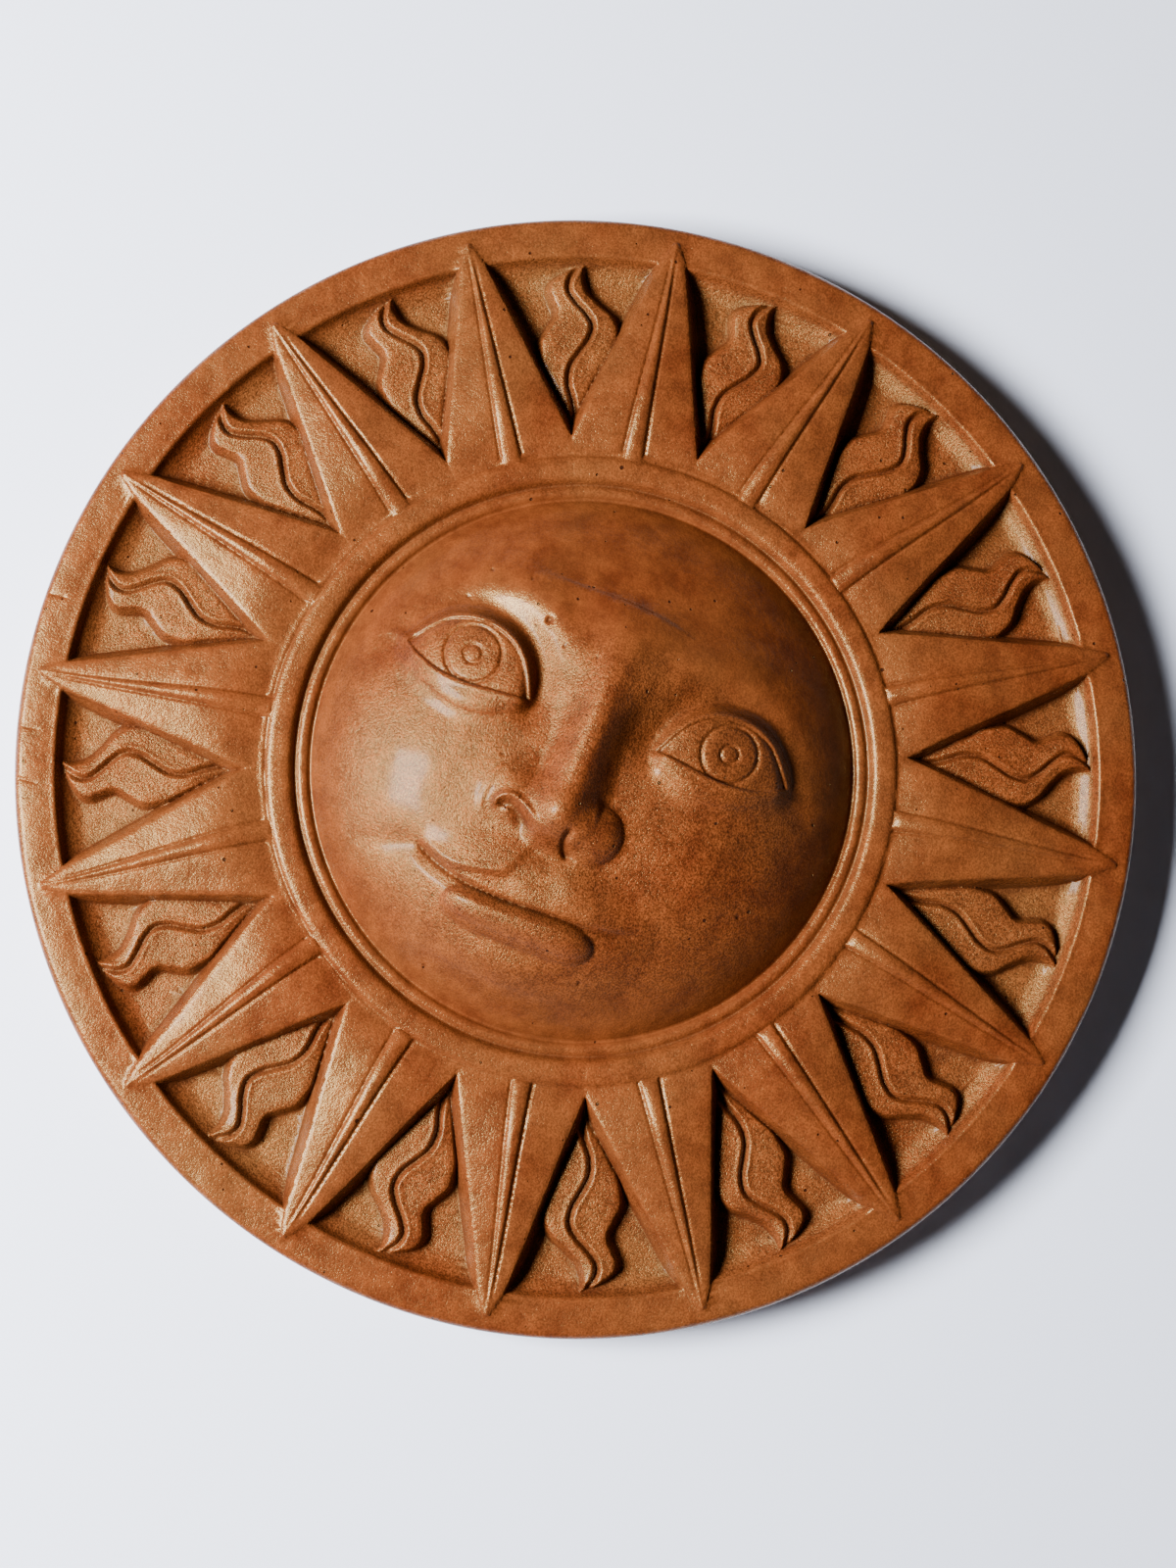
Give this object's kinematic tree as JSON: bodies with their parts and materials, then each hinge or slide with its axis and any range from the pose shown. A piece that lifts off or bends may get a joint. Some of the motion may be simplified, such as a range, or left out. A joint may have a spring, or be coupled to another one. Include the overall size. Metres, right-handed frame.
{
  "type": "decorative wall plaque",
  "caption": "Round moulded clay wall plaque: a smiling sun face in a ring, ribbed rays and wavy flames in sunken panels; hangs flat against a wall.",
  "frame": {"origin": "middle of the flat back, where it lies against the wall", "axes": "+Z to the top of the plaque, the way the face stands; +Y out of the flat back, into the wall; +X to the viewer's right"},
  "size_m": [0.3, 0.0544, 0.3],
  "materials": {
    "fired_clay": "satin"
  },
  "bodies": {
    "root": {"sun_plaque": "fired_clay"}
  },
  "joints": []
}
